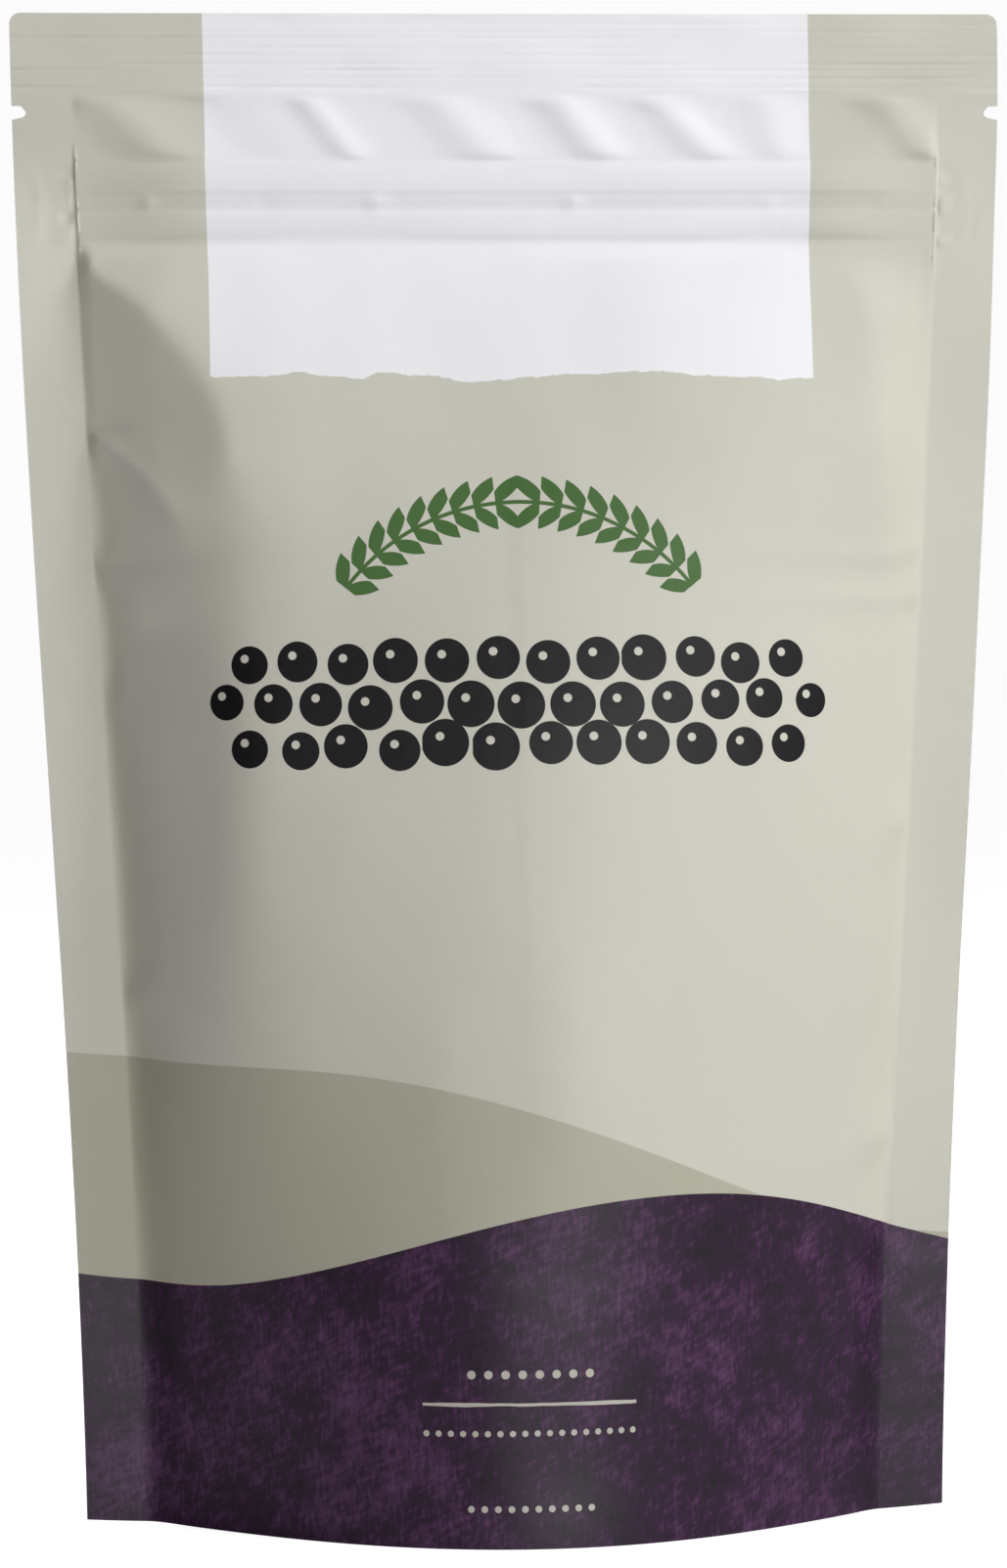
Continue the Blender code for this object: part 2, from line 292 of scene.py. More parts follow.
# The zipper's profile under the film, in millimetres: height, and how far the film stands off its flange.
ZIP_PROFILE = [
    (216.0, 0.00),
    (226.0, -0.52),
    (229.2, -0.90),
    (229.8, -0.92),
    (230.3, -0.78),
    (231.0, -0.60),
    (232.0, -0.46),
    (233.2, -0.38),
    (234.4, -0.38),
    (234.8, -0.42),
    (235.3, -0.62),
    (235.8, -0.60),
    (236.6, -0.42),
    (237.6, -0.22),
    (238.0, -0.16),
    (238.3, -0.12),
    (238.7, 0.06),
    (239.4, 0.13),
    (240.6, 0.16),
    (241.8, 0.03),
    (242.8, -0.18),
    (243.7, -0.46),
    (244.3, -0.70),
    (247.0, -0.66),
    (256.0, 0.00),
]
# The knocks in the zipper's hollow: place and size.
ZIP_KNOCKS = [
    (-65 * MM, 0.40 * MM),
    (-24 * MM, 0.34 * MM),
    (-44 * MM, -0.16 * MM),
    (11.5 * MM, 0.34 * MM),
    (47 * MM, 0.20 * MM),
    (66 * MM, -0.20 * MM),
]


def zip_profile(v):
    """The zipper's profile at v, with its corners rounded by the film."""
    step, rounding, reach = 0.1 * MM, 0.25 * MM, 12
    heights, stands = np.array(ZIP_PROFILE).T * MM
    fine = np.arange(heights[0], heights[-1], step)
    blur = bell(np.arange(-reach, reach + 1) * step, rounding)
    padded = np.pad(np.interp(fine, heights, stands), reach, mode="edge")
    return np.interp(v, fine, np.convolve(padded, blur / blur.sum(), "valid"))


def zip_relief(u, v, seed):
    """The zipper seen through the film: two rounded bands with a hollow between, knocked here and there."""
    knocks = np.zeros_like(u)
    for place, size in ZIP_KNOCKS:
        knocks += size * bell(u - place, 1.3 * MM) * bell(v - ZIP_HOLLOW, 1.5 * MM)
    inside = ease((v - ZIP_LOW) / (1.0 * MM)) * ease((ZIP_HIGH - v) / (1.0 * MM))
    bow = 0.06 * MM * waves(u, v, 34 * MM, seed, stretch=0.35)
    from_seal = np.maximum(BODY_FLAT_HALF - np.abs(u), 0.0)
    return zip_edge(from_seal, v) * (zip_profile(v) + inside * (knocks + bow))


def crushed_ends(u, v, seed):
    """The zipper's ends, crushed flat in the side seals."""
    from_end = np.abs(u) - BODY_FLAT_HALF
    band = ease((v - ZIP_LOW + 1.5 * MM) / (1.5 * MM)) * ease((ZIP_HIGH - v) / (3.0 * MM))
    bite = 0.22 * MM * waves(u, v, 3.2 * MM, seed, stretch=1.8) * bell(from_end - 0.8 * MM, 0.9 * MM)
    flow = 0.09 * MM * waves(u, v, 2.6 * MM, seed + 1, stretch=6.0) * bell(from_end - 4.5 * MM, 3.6 * MM)
    return band * (np.minimum(bite, 0.2 * MM) + flow)


def header_folds(u, v, folds):
    """Slanting folds in the loose film between the zipper and the top seal: (place, height, width, slant)."""
    window = ease((v - ZIP_HIGH) / (2.5 * MM)) * ease((SEAL_LOW - v) / (1.6 * MM))
    sides = ease((BODY_FLAT_HALF - np.abs(u)) / (2.0 * MM))
    below_middle = (ZIP_HIGH + SEAL_LOW) / 2 - v
    total = np.zeros_like(u)
    for place, height, width, slant in folds:
        total += height * bell(u - place - slant * below_middle, width)
    return window * sides * total


def seal_ribs(u, v, seed):
    """The sealing bar's fine lines along the top seal, broken here and there."""
    count, first, pitch, stray = 9, 1.4, 1.45, 0.3  # the last three in millimetres
    inside = ease((v - SEAL_LOW) / (0.8 * MM)) * ease((HEIGHT - v) / (0.8 * MM))
    draws = np.random.RandomState(seed)
    lines = np.zeros_like(u)
    for k in range(count):
        height = SEAL_LOW + (first + pitch * k + draws.uniform(-stray, stray)) * MM
        along = np.full_like(v, k * 31 * MM)
        strength = 0.5 + 0.5 * waves(u, along, 45 * MM, seed + k)
        lines += 0.17 * MM * np.clip(strength, 0.0, 1.2) * bell(v - height, 0.30 * MM)
    uneven = 0.09 * MM * waves(u, v, 26 * MM, seed + 20, stretch=0.6)
    return inside * (lines + uneven)


LEFT_FIN_TILT = -1.4 * MM
RIGHT_FIN_TILT = 0.6 * MM
HEADER_LEAN = 0.4 * MM
TOP_SEAL_LEAN = 2.6 * MM


def seal_swells(u, v, seed):
    """The side seals wave a little out of their plane, and each is tilted, less so above the zipper."""
    out = np.clip((np.abs(u) - BODY_FLAT_HALF) / SIDE_SEAL, 0.0, 1.0)
    held = 1.0 - 0.85 * ease((v - ZIP_LOW) / (20 * MM))
    tilt = np.where(u < 0.0, LEFT_FIN_TILT, RIGHT_FIN_TILT) * held
    return out * (0.26 * MM * waves(u * 0.15, v, 60 * MM, seed) + tilt)


def welded_relief(u, v):
    """How far both films together stand behind the middle plane, where they are welded or lie together."""
    back = seal_swells(u, v, seed=41) + seal_ribs(u, v, seed=16) - header_folds(u, v, HEADER)
    header_lean = HEADER_LEAN * ease((v - ZIP_HIGH) / (SEAL_LOW - ZIP_HIGH))
    seal_lean = TOP_SEAL_LEAN * np.maximum(v - SEAL_LOW, 0.0) / TOP_SEAL
    return back - crushed_ends(u, v, seed=18) + header_lean + seal_lean


# The pinches in the side seals: side, height, size, reach into the panel, and drop over that reach.
FRONT_PINCHES = [
    (-1, 223.0 * MM, 0.5 * MM, 10 * MM, 7 * MM),
    (-1, 195.7 * MM, 3.9 * MM, 19 * MM, 24 * MM),
    (-1, 172.0 * MM, 1.7 * MM, 11 * MM, 13 * MM),
    (-1, 148.0 * MM, 0.5 * MM, 15 * MM, 13 * MM),
    (-1, 96.0 * MM, 0.4 * MM, 18 * MM, 12 * MM),
    (1, 175.0 * MM, 0.6 * MM, 14 * MM, 4 * MM),
    (1, 167.5 * MM, 0.7 * MM, 16 * MM, 5 * MM),
    (1, 126.0 * MM, 0.4 * MM, 16 * MM, 12 * MM),
    (1, 70.0 * MM, 0.4 * MM, 14 * MM, 9 * MM),
]
BACK_PINCHES = [
    (-1, 202 * MM, 1.4 * MM, 18 * MM, 18 * MM),
    (-1, 166 * MM, 1.2 * MM, 22 * MM, 18 * MM),
    (-1, 120 * MM, 0.6 * MM, 20 * MM, 14 * MM),
    (1, 192 * MM, 1.8 * MM, 22 * MM, 22 * MM),
    (1, 158 * MM, 1.0 * MM, 18 * MM, 16 * MM),
    (1, 104 * MM, 0.6 * MM, 20 * MM, 12 * MM),
]
# The shoulders on the left and on the right of each face.
FRONT_SHOULDERS = (
    Shoulder((78 * MM, 226 * MM), (51 * MM, 192.5 * MM), strength=0.95, low=0.75),
    Shoulder((77 * MM, 229 * MM), (66 * MM, 196 * MM), strength=0.34, blur=0.4),
)
BACK_SHOULDERS = (
    Shoulder((78 * MM, 226 * MM), (60 * MM, 199 * MM), strength=0.7, blur=0.3),
    Shoulder((78 * MM, 227 * MM), (54 * MM, 194 * MM), strength=0.9, blur=0.2),
)


def front_folds(u, v):
    """The front's gathers, two small ridges in its left shoulder, its swells and a dent."""
    total = dent(u, v, (-52 * MM, 92 * MM), -1.5 * MM, 17 * MM, 58 * MM)
    total += dent(u, v, (28 * MM, 135 * MM), -1.9 * MM, 38 * MM, 72 * MM)
    total += dent(u, v, (-57 * MM, 130 * MM), 0.4 * MM, 7 * MM, 20 * MM)
    top, foot = (-62 * MM, 189 * MM), (-46 * MM, 179 * MM)
    total += ridge(u, v, top, foot, 0.16 * MM, 2 * MM, 4 * MM, ends=(0.3, 0.5))
    top, foot = (-72 * MM, 201 * MM), (-59 * MM, 184 * MM)
    total += ridge(u, v, top, foot, 0.5 * MM, 4 * MM, 9 * MM, bow=0.0, ends=(0.4, 0.4))
    return sum((gather(u, v, pinch) for pinch in FRONT_PINCHES), total)


def back_folds(u, v):
    """The back's gathers and a broad dent."""
    total = dent(u, v, (24 * MM, 150 * MM), 0.7 * MM, 26 * MM, 15 * MM, turn=0.3)
    return sum((gather(u, v, pinch) for pinch in BACK_PINCHES), total)


# The folds above the zipper: place, height, width and slant.
HEADER = [
    (-67 * MM, 0.65 * MM, 6.0 * MM, 1.1),
    (-52 * MM, -0.35 * MM, 6.0 * MM, 0.9),
    (-32 * MM, 0.65 * MM, 3.0 * MM, 0.8),
    (-8 * MM, 0.80 * MM, 6.0 * MM, 0.9),
    (13 * MM, 0.90 * MM, 4.4 * MM, 0.8),
    (32 * MM, 0.75 * MM, 4.2 * MM, 1.0),
    (48 * MM, 0.45 * MM, 4.2 * MM, 0.3),
    (73 * MM, 0.85 * MM, 5.0 * MM, 0.9),
]

# ---- Films as meshes ----

BODY_CELLS = 146
SEAL_CELLS = 9
BESIDE_SEAM = (0.2 * MM, 0.45 * MM)
SKIRT_ROWS = 13


def across_columns(body_cells, seal_cells, beside_seam=()):
    """Shares across the film: up to 1 in the body and from 1 to 2 in a side seal. Columns at the given
    distances on both sides of each seam keep its crease sharp."""
    t = np.linspace(-1.0, 1.0, body_cells + 1)
    body = 0.5 * t + 0.5 * np.sin(math.pi / 2 * t)
    seal = 1.0 + np.arange(1, seal_cells + 1) / seal_cells
    near = np.array(beside_seam)
    extra = np.concatenate([1.0 - near / BODY_FLAT_HALF, 1.0 + near / SIDE_SEAL])
    return np.unique(np.round(np.concatenate([-seal, -extra, body, extra, seal]), 9))


def spread(low, high, step):
    """Even heights from low to high, about step apart."""
    return list(np.linspace(low, high, max(2, round((high - low) / step)) + 1))


def panel_rows():
    """The heights of a panel's rows of corners: close together over the zipper, the notch and the top seal."""
    notch_low, notch_high = NOTCH_HEIGHT - NOTCH_WIDTH / 2, NOTCH_HEIGHT + NOTCH_WIDTH / 2
    nick = 0.02 * MM
    rows = spread(0.0, 150 * MM, 1.9 * MM)
    rows += spread(150 * MM, ZIP_LOW - 3 * MM, 1.45 * MM)
    rows += spread(ZIP_LOW - 3 * MM, ZIP_HIGH + 1.5 * MM, 0.33 * MM)
    rows += spread(ZIP_HIGH + 1.5 * MM, notch_low - nick, 0.8 * MM)
    rows += spread(notch_low, notch_high, 0.5 * MM)
    rows += spread(notch_high + nick, SEAL_LOW, 0.6 * MM)
    rows += spread(SEAL_LOW, HEIGHT - CORNER_RADIUS, 0.24 * MM)
    rows += [HEIGHT - CORNER_RADIUS * (1.0 - math.sin(math.radians(turn))) for turn in range(15, 91, 15)]
    return np.unique(np.round(rows, 7))


def mesh_of(name, points, film_uv):
    """A grid mesh from points[row, column] with the film's flat coordinates, in metres, as its UV map."""
    rows, columns = points.shape[:2]
    index = np.arange(rows * columns).reshape(rows, columns)
    faces = np.stack([index[:-1, :-1], index[:-1, 1:], index[1:, 1:], index[1:, :-1]], axis=-1).reshape(-1, 4)
    mesh = bpy.data.meshes.new(name)
    mesh.from_pydata(points.reshape(-1, 3).tolist(), [], faces.tolist())
    layer = mesh.uv_layers.new(name="film")
    layer.data.foreach_set("uv", film_uv.reshape(-1, 2)[faces.reshape(-1)].astype(np.float32).ravel())
    mesh.shade_smooth()
    mesh.update()
    return mesh


def film_length(reach, z):
    """The film's length from the middle to reach, over a panel with no folds."""
    steps = np.sin(np.linspace(0.0, math.pi / 2, 41))[:, None, None]
    x = steps * reach
    return np.hypot(np.diff(x, axis=0), np.diff(panel_depth(x, z), axis=0)).sum(axis=0)


def film_across(share, z):
    """How far across its flat sheet the film is at a share of the way to a side seal (1 to 2 in the seal)."""
    body, cut = body_half_width(z), cut_half_width(z)
    to_point = film_length(np.minimum(np.abs(share), 1.0) * body, z)
    to_seal = film_length(body, z)
    in_seal = np.clip(np.abs(share) - 1.0, 0.0, 1.0) * (cut - body)
    return np.sign(share) * (to_point * BODY_FLAT_HALF / to_seal + in_seal)


def normals_of(points):
    """Unit normals of a grid of points, towards -Y on the front panel."""
    across = np.gradient(points, axis=1)
    up = np.gradient(points, axis=0)
    normals = np.cross(across, up)
    return normals / np.linalg.norm(normals, axis=2, keepdims=True)


class Face:
    """One face of the pouch, with its own folds."""

    def __init__(self, folds, pinches, shoulders, seed, turn):
        self.folds = folds
        self.pinches = pinches
        self.shoulders = shoulders
        self.seed = seed
        self.turn = turn  # 1 for the front, and -1 for the back, which is turned round

    def surface(self, share, z):
        """The film's mid-surface at a grid of shares and heights, and its flat coordinates."""
        body, cut = body_half_width(z), cut_half_width(z)
        in_seal = np.clip(np.abs(share) - 1.0, 0.0, 1.0)
        x = np.sign(share) * (np.minimum(np.abs(share), 1.0) * body + in_seal * (cut - body))
        left, right = (softness(z, side, self.pinches) for side in (-1, 1))
        y = -panel_depth(x, z, self.shoulders, soft=np.where(share < 0.0, left, right))
        rim_lift = RIM_CLEARANCE + CORNER_LIFT * (np.abs(x) / HALF_WIDTH_BOTTOM) ** 4
        lift = rim_lift * (1.0 - z / HEIGHT) ** 12
        points = np.stack([x, y, z + lift], axis=-1)
        u = film_across(share, z)
        points = points + normals_of(points) * self.relief(u, z)[..., None]
        points[..., 1] = np.minimum(points[..., 1], -seal_depth(z))
        points[..., 1] += self.turn * welded_relief(self.turn * u, z)
        return points, np.stack([u, z], axis=-1)

    def relief(self, u, v):
        """How far the film stands off its smooth shape."""
        loose = inside_body(u, v) * (crumple(u, v, self.seed) + self.folds(u, v))
        return loose + zip_relief(u, v, self.seed + 3)

    def panel(self):
        share, z = np.meshgrid(across_columns(BODY_CELLS, SEAL_CELLS, BESIDE_SEAM), panel_rows())
        return self.surface(share, z)

    def skirt(self, shares, tops):
        """The gusset's weld to this face: the film inside the panel, from the rim to tops."""
        climb = np.linspace(0.0, 1.0, SKIRT_ROWS)[:, None]
        points, _ = self.surface(np.broadcast_to(shares, (SKIRT_ROWS, len(shares))), climb * tops)
        return points - normals_of(points) * (FILM + WELD / 2)


FRONT = Face(front_folds, FRONT_PINCHES, FRONT_SHOULDERS, seed=11, turn=1)
BACK = Face(back_folds, BACK_PINCHES, BACK_SHOULDERS, seed=67, turn=-1)


def turned_round(points):
    """Half a turn about the upright axis, which brings the back face from the front's place to its own."""
    return points * np.array([-1.0, -1.0, 1.0])


def weld_height(shares):
    """How high the gusset is welded to the panels."""
    round_foot = 1.0 - np.sqrt(1.0 - np.minimum(np.abs(shares), 1.0) ** 2)
    return mix(GUSSET_WELD_MIDDLE, GUSSET_FOLD - 1.0 * MM, round_foot)


def gusset_points():
    """The bottom gusset: up inside the front panel, across in a sag under the berries, and down behind."""
    shares = across_columns(body_cells=84, seal_cells=6)
    tops = weld_height(shares)
    front = FRONT.skirt(shares, tops)
    back = turned_round(BACK.skirt(shares, tops)[:, ::-1])
    t = np.linspace(-1.0, 1.0, 43)[1:-1, None]  # from the front to the back
    middle = mix(front[-1], back[-1], (t[..., None] + 1.0) / 2.0)
    span = (back[-1, :, 1] - front[-1, :, 1]) / 2.0
    leaf = GUSSET_FOLD - tops
    slack = 0.866 * np.sqrt(np.maximum(leaf**2 - span**2, 0.0))
    sag = np.minimum(slack, 2.0 * tops) * (1.0 - np.abs(t) ** 2.4)
    x, y = middle[..., 0], middle[..., 1]
    free = (1.0 - np.abs(t) ** 4) * ease((1.0 - np.abs(shares)) / 0.25)
    swells = 0.7 * MM * waves(x * 2.4, y, 30 * MM, seed=91)
    creases = 0.8 * MM * np.abs(waves(x, y * 0.4, 34 * MM, seed=92))
    middle[..., 2] = np.maximum(FILM / 2, middle[..., 2] - sag + free * (swells - creases))
    return np.concatenate([front, middle, back[::-1]])


def add_object(name, mesh, materials):
    made = bpy.data.objects.new(name, mesh)
    bpy.context.scene.collection.objects.link(made)
    for material in materials:
        mesh.materials.append(material)
    return made


def bake_modifiers(made):
    """Gives an object the mesh that its modifiers make of it."""
    evaluated = made.evaluated_get(bpy.context.evaluated_depsgraph_get())
    mesh = bpy.data.meshes.new_from_object(evaluated)
    made.modifiers.clear()
    made.data = mesh


def add_film(name, points, film_uv, printed, lining):
    """A sheet of film with its thickness: printed outside, lining inside and along its cut edges."""
    made = add_object(name, mesh_of(name, points, film_uv), [printed, lining])
    solid = made.modifiers.new("film thickness", "SOLIDIFY")
    solid.thickness = FILM
    solid.offset = 0.0
    solid.material_offset = 1
    solid.material_offset_rim = 1
    bake_modifiers(made)
    made.data.set_sharp_from_angle(angle=math.radians(60))
    return made


def add_films(groups):
    inside = lining(groups)
    points, film_uv = FRONT.panel()
    front = add_film("printed_front_film", points, film_uv, front_print(groups), inside)
    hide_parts("front_panel")
    points, film_uv = BACK.panel()
    back = add_film("printed_back_film", turned_round(points), film_uv, back_print(groups), inside)
    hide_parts("back_panel")
    points = gusset_points()
    gusset = add_film("bottom_gusset_film", points, points[..., :2], inside, foot_print(groups))
    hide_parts("bottom_gusset")
    for film in (front, back, gusset):
        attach(film, "root")


# ---- The zipper's strips ----


STRIP_CRUSH = 0.62  # the share of the strips' thickness that is left inside the film
STRIP_CUTS = (0.4, 1.5, 3.0, 6.0, 9.0, 12.0, 16.0, 20.0, 24.0)  # from each end, in millimetres
STRIPS = (("zipper_rib_strip", "zip_rib_profile"), ("zipper_channel_strip", "zip_channel_profile"))


def crushed_strip(node, name):
    """A strip's mesh from its CAD solid, cut across near its ends and crushed there."""
    low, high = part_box(node)
    shape = bmesh.new()
    shape.from_mesh(bpy.data.objects[node].data)
    for back in STRIP_CUTS:
        for end, sign in ((low.x, 1.0), (high.x, -1.0)):
            cut = (end + sign * back * MM, 0.0, 0.0)
            parts = shape.verts[:] + shape.edges[:] + shape.faces[:]
            bmesh.ops.bisect_plane(shape, geom=parts, plane_co=cut, plane_no=(1.0, 0.0, 0.0), dist=1e-7)
    for corner in shape.verts:
        from_end = min(corner.co.x - low.x, high.x - corner.co.x)
        corner.co.y *= STRIP_CRUSH * float(zip_edge(from_end + 1.0 * MM, corner.co.z))
    mesh = bpy.data.meshes.new(name)
    shape.to_mesh(mesh)
    shape.free()
    return mesh


def add_zip_strips():
    """The zipper's two strips, with their ends crushed flat where they are welded in."""
    plastic = zip_plastic()
    for node, name in STRIPS:
        mesh = crushed_strip(node, name)
        strip = add_object(name, mesh, [plastic])
        mesh.set_sharp_from_angle(angle=math.radians(35))
        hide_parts(node)
        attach(strip, "root")


# ---- The dried berries ----

BERRY_PITCH = 5.0 * MM
HEAP_DRAWN_IN = 4.6 * MM
HEAP_CELL = 1.5 * MM


def heap_bumps(points, pitch, seed):
    """How far berries of about that pitch stand out of a heap at each point."""
    draws = np.random.RandomState(seed)
    low = points.min(axis=0) - 2 * pitch
    counts = np.ceil((points.max(axis=0) + 2 * pitch - low) / pitch).astype(int)
    centres = draws.uniform(-0.42, 0.42, (*counts, 3))
    cells = np.floor((points - low) / pitch).astype(int)
    nearest = np.full(len(points), np.inf)
    for step in np.ndindex(3, 3, 3):
        cell = np.clip(cells + np.array(step) - 1, 0, counts - 1)
        centre = low + (cell + 0.5 + centres[tuple(cell.T)]) * pitch
        nearest = np.minimum(nearest, np.linalg.norm(points - centre, axis=1))
    return 0.5 * pitch * np.sqrt(np.maximum(0.0, 1.0 - (nearest / (0.75 * pitch)) ** 2))


def gentler_foot(x, z):
    """How much nearer to the middle plane the film is low down than it would be with the belly's section."""
    share = np.minimum(np.abs(x) / body_half_width(z), 0.995)
    return round_section(share, z) / (1.0 - share**2) ** BELLY_POWER


def add_berries():
    """The heap inside, from its CAD solid: bumped with berries, and drawn in from the film."""
    solid = bpy.data.objects["dried_elderberries"]
    mesh = solid.data.copy()
    mesh.materials.clear()
    heap = add_object("dried_berry_heap", mesh, [berry_skin()])
    remesh = heap.modifiers.new("even", "REMESH")
    remesh.mode = "VOXEL"
    remesh.voxel_size = HEAP_CELL
    bake_modifiers(heap)
    vertices = heap.data.vertices
    points = np.empty(len(vertices) * 3)
    normals = np.empty(len(vertices) * 3)
    vertices.foreach_get("co", points)
    vertices.foreach_get("normal", normals)
    points, normals = points.reshape(-1, 3), normals.reshape(-1, 3)
    out = heap_bumps(points, BERRY_PITCH, seed=3) - HEAP_DRAWN_IN
    points = points + normals * out[:, None]
    points[:, 1] *= gentler_foot(points[:, 0], points[:, 2])
    vertices.foreach_set("co", points.ravel())
    heap.data.shade_smooth()
    heap.data.update()
    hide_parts("dried_elderberries")
    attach(heap, "root")


# ---- Shader nodes ----


class Graph:
    """Adds nodes to one node tree. An input may be a socket, a number, a colour or a vector."""

    def __init__(self, tree):
        self.tree = tree

    def add(self, kind, inputs=(), **settings):
        node = self.tree.nodes.new(kind)
        for name, value in settings.items():
            setattr(node, name, value)
        for key, value in dict(inputs).items():
            self.feed(node.inputs[key], value)
        return node

    def feed(self, socket, value):
        if isinstance(value, bpy.types.NodeSocket):
            self.tree.links.new(value, socket)
        else:
            socket.default_value = value

    def math(self, operation, *values, clamp=False):
        node = self.add("ShaderNodeMath", dict(enumerate(values)), operation=operation, use_clamp=clamp)
        return node.outputs[0]

    def sum(self, first, *rest):
        for value in rest:
            first = self.math("ADD", first, value)
        return first

    def times(self, a, b):
        return self.math("MULTIPLY", a, b)

    def less(self, a, b, blur=0.00006):
        """1 where a is less than b, with an edge blur wide."""
        return self.math("MULTIPLY_ADD", self.math("SUBTRACT", b, a), 1.0 / blur, 0.5, clamp=True)

    def colour(self, factor, a, b, blend="MIX"):
        node = self.add("ShaderNodeMix", data_type="RGBA", blend_type=blend)
        self.feed(node.inputs[0], factor)
        self.feed(node.inputs[6], a)
        self.feed(node.inputs[7], b)
        return node.outputs[2]

    def split(self, vector):
        node = self.add("ShaderNodeSeparateXYZ", {0: vector})
        return node.outputs[0], node.outputs[1]

    def join(self, x, y, z=0.0):
        return self.add("ShaderNodeCombineXYZ", {0: x, 1: y, 2: z}).outputs[0]

    def noise(self, vector, scale, detail=2.0, roughness=0.5, stretch=(1, 1, 1)):
        placed = self.add("ShaderNodeMapping", {"Vector": vector, "Scale": stretch}).outputs[0]
        inputs = {"Vector": placed, "Scale": scale, "Detail": detail, "Roughness": roughness}
        return self.add("ShaderNodeTexNoise", inputs).outputs[0]

    def ramp(self, value, low, high, start=0.0, end=1.0):
        inputs = {0: value, 1: low, 2: high, 3: start, 4: end}
        return self.add("ShaderNodeMapRange", inputs, clamp=True).outputs[0]


def new_group(name, takes, gives):
    """A node group with named inputs (name: (kind, default)) and outputs (name: kind)."""
    tree = bpy.data.node_groups.new(name, "ShaderNodeTree")
    for label, (kind, default) in takes.items():
        socket = tree.interface.new_socket(label, in_out="INPUT", socket_type="NodeSocket" + kind)
        if default is not None:
            socket.default_value = default
    for label, kind in gives.items():
        tree.interface.new_socket(label, in_out="OUTPUT", socket_type="NodeSocket" + kind)
    graph = Graph(tree)
    return graph, graph.add("NodeGroupInput"), graph.add("NodeGroupOutput")


def new_material(name, roughness, colour=(0.8, 0.8, 0.8, 1.0)):
    material = bpy.data.materials.new(name)
    material.use_nodes = True
    shader = material.node_tree.nodes["Principled BSDF"]
    shader.inputs["Roughness"].default_value = roughness
    shader.inputs["Base Color"].default_value = colour
    return material, Graph(material.node_tree), shader


# ---- The print ----

GROUND = (0.60, 0.60, 0.515, 1.0)
GROUND_DARK = (0.445, 0.440, 0.345, 1.0)
PLAIN_WHITE = (0.88, 0.895, 0.915, 1.0)
PURPLE_DEEP = (0.009, 0.006, 0.010, 1.0)
PURPLE_MIDDLE = (0.032, 0.007, 0.038, 1.0)
PURPLE_PALE = (0.105, 0.040, 0.112, 1.0)
LEAF_GREEN = (0.060, 0.145, 0.035, 1.0)
BERRY_BLACK = (0.004, 0.0035, 0.005, 1.0)
PALE_INK = (0.50, 0.49, 0.43, 1.0)


def wavy_edge(g, u, height, slope, rise, length, shift):
    """The height of a long wave at u."""
    angle = g.math("MULTIPLY_ADD", u, 2.0 * math.pi / length, shift)
    line = g.math("MULTIPLY_ADD", u, slope, height)
    return g.math("MULTIPLY_ADD", g.math("SINE", angle), rise, line)


def clouded_purple(g, film):
    """Clouds, blots and short fibres of ink, like dye on felted paper."""
    broad = g.noise(film, 30.0, detail=2.0, roughness=0.6, stretch=(1.0, 0.8, 1.0))
    clouds = g.ramp(broad, 0.30, 0.70)
    blots = g.noise(film, 130.0, detail=8.0, roughness=0.66)
    hairs = g.noise(film, 1300.0, detail=3.0, roughness=0.6, stretch=(1.0, 0.26, 1.0))
    turned = g.add("ShaderNodeMapping", {"Vector": film, "Rotation": (0.0, 0.0, 1.1)}).outputs[0]
    strays = g.noise(turned, 1100.0, detail=3.0, roughness=0.6, stretch=(1.0, 0.22, 1.0))
    weights = ((clouds, 0.28), (blots, 0.74), (hairs, 0.62), (strays, 0.52))
    tone = g.sum(*[g.times(pattern, weight) for pattern, weight in weights])
    purple = g.colour(g.ramp(tone, 0.83, 1.14), PURPLE_DEEP, PURPLE_MIDDLE)
    return g.colour(g.ramp(tone, 1.08, 1.38), purple, PURPLE_PALE)


def ground_group():
    """The film's printed ground: greige, a darker hill, and a clouded purple foot."""
    g, taken, given = new_group("film ground", {"Film": ("Vector", None)}, {"Colour": "Color"})
    film = taken.outputs["Film"]
    u, v = g.split(film)
    hill_top = wavy_edge(g, u, height=72 * MM, slope=-0.20, rise=5 * MM, length=170 * MM, shift=2.2)
    foot_top = wavy_edge(g, u, height=52.5 * MM, slope=0.0, rise=8.5 * MM, length=196 * MM, shift=0.66)
    hill = g.less(v, hill_top)
    foot = g.less(v, foot_top)
    colour = g.colour(hill, GROUND, GROUND_DARK)
    g.feed(given.inputs["Colour"], g.colour(foot, colour, clouded_purple(g, film)))
    return g.tree


